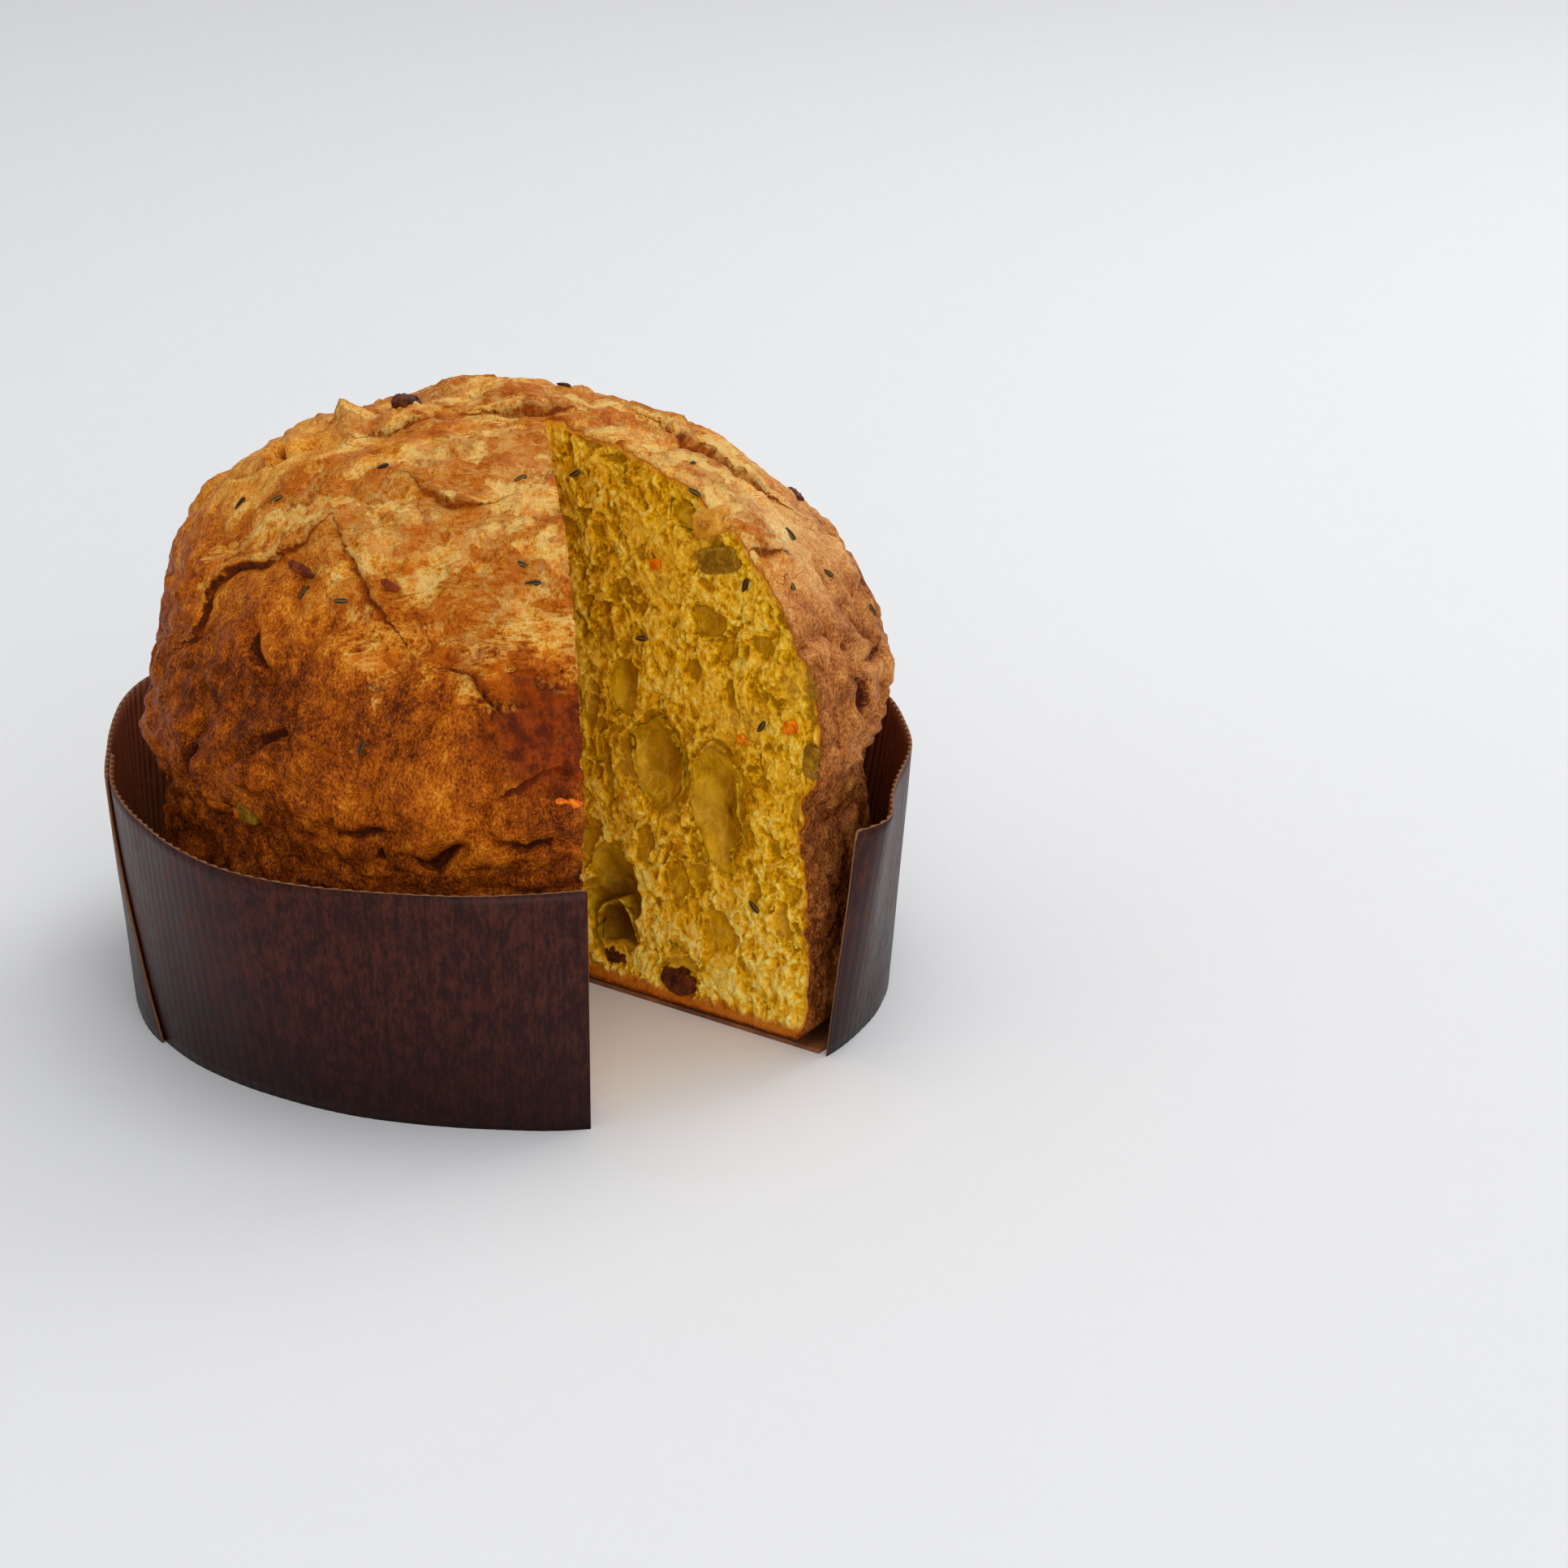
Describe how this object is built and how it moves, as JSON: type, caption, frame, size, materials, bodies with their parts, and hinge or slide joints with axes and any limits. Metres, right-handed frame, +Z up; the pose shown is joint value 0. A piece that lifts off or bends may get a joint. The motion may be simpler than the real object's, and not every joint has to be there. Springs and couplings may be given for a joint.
{
  "type": "panettone",
  "caption": "Low round sweet loaf with a domed brown crust, baked in a fluted paper case, with one wedge cut out to show the open yellow crumb, candied fruit and seeds.",
  "frame": {"origin": "centre of the paper case's underside, which stands on the table", "axes": "+Z up through the crown of the loaf; -Y towards the side where the wedge was cut out; +X to the right of someone who looks into the cut"},
  "size_m": [0.2149, 0.2154, 0.1582],
  "materials": {
    "bread": "matte",
    "paper_case": "satin",
    "candied_citron": "satin",
    "candied_melon": "satin",
    "raisin": "satin",
    "orange_peel": "satin",
    "seed": "matte"
  },
  "bodies": {
    "root": {"candied_citron_cube": "candied_citron", "candied_citron_high": "candied_citron", "candied_citron_left": "candied_citron", "candied_melon_chunk": "candied_melon", "candied_melon_low": "candied_melon", "candied_melon_skin": "candied_melon", "loaf": "bread", "orange_peel_1": "orange_peel", "orange_peel_2": "orange_peel", "orange_peel_3": "orange_peel", "orange_peel_left": "orange_peel", "orange_peel_skin": "orange_peel", "orange_strip_1": "orange_peel", "orange_strip_2": "orange_peel", "orange_strip_3": "orange_peel", "paper_base": "paper_case", "paper_wall": "paper_case", "raisin_at_base": "raisin", "raisin_in_hollow": "raisin", "raisin_left": "raisin", "raisin_on_crown": "raisin", "raisin_on_shoulder": "raisin", "seed_crumb_01": "seed", "seed_crumb_02": "seed", "seed_crumb_03": "seed", "seed_crumb_04": "seed", "seed_crumb_05": "seed", "seed_crumb_06": "seed", "seed_crumb_07": "seed", "seed_crumb_08": "seed", "seed_crumb_09": "seed", "seed_crust_01": "seed", "seed_crust_02": "seed", "seed_crust_03": "seed", "seed_crust_04": "seed", "seed_crust_05": "seed", "seed_crust_06": "seed", "seed_crust_07": "seed", "seed_crust_08": "seed", "seed_crust_09": "seed", "seed_crust_10": "seed", "seed_crust_11": "seed", "seed_crust_12": "seed", "seed_crust_13": "seed", "seed_crust_14": "seed", "seed_crust_15": "seed", "seed_crust_16": "seed", "seed_crust_17": "seed", "seed_crust_18": "seed", "seed_crust_19": "seed", "seed_crust_20": "seed"}
  },
  "joints": []
}
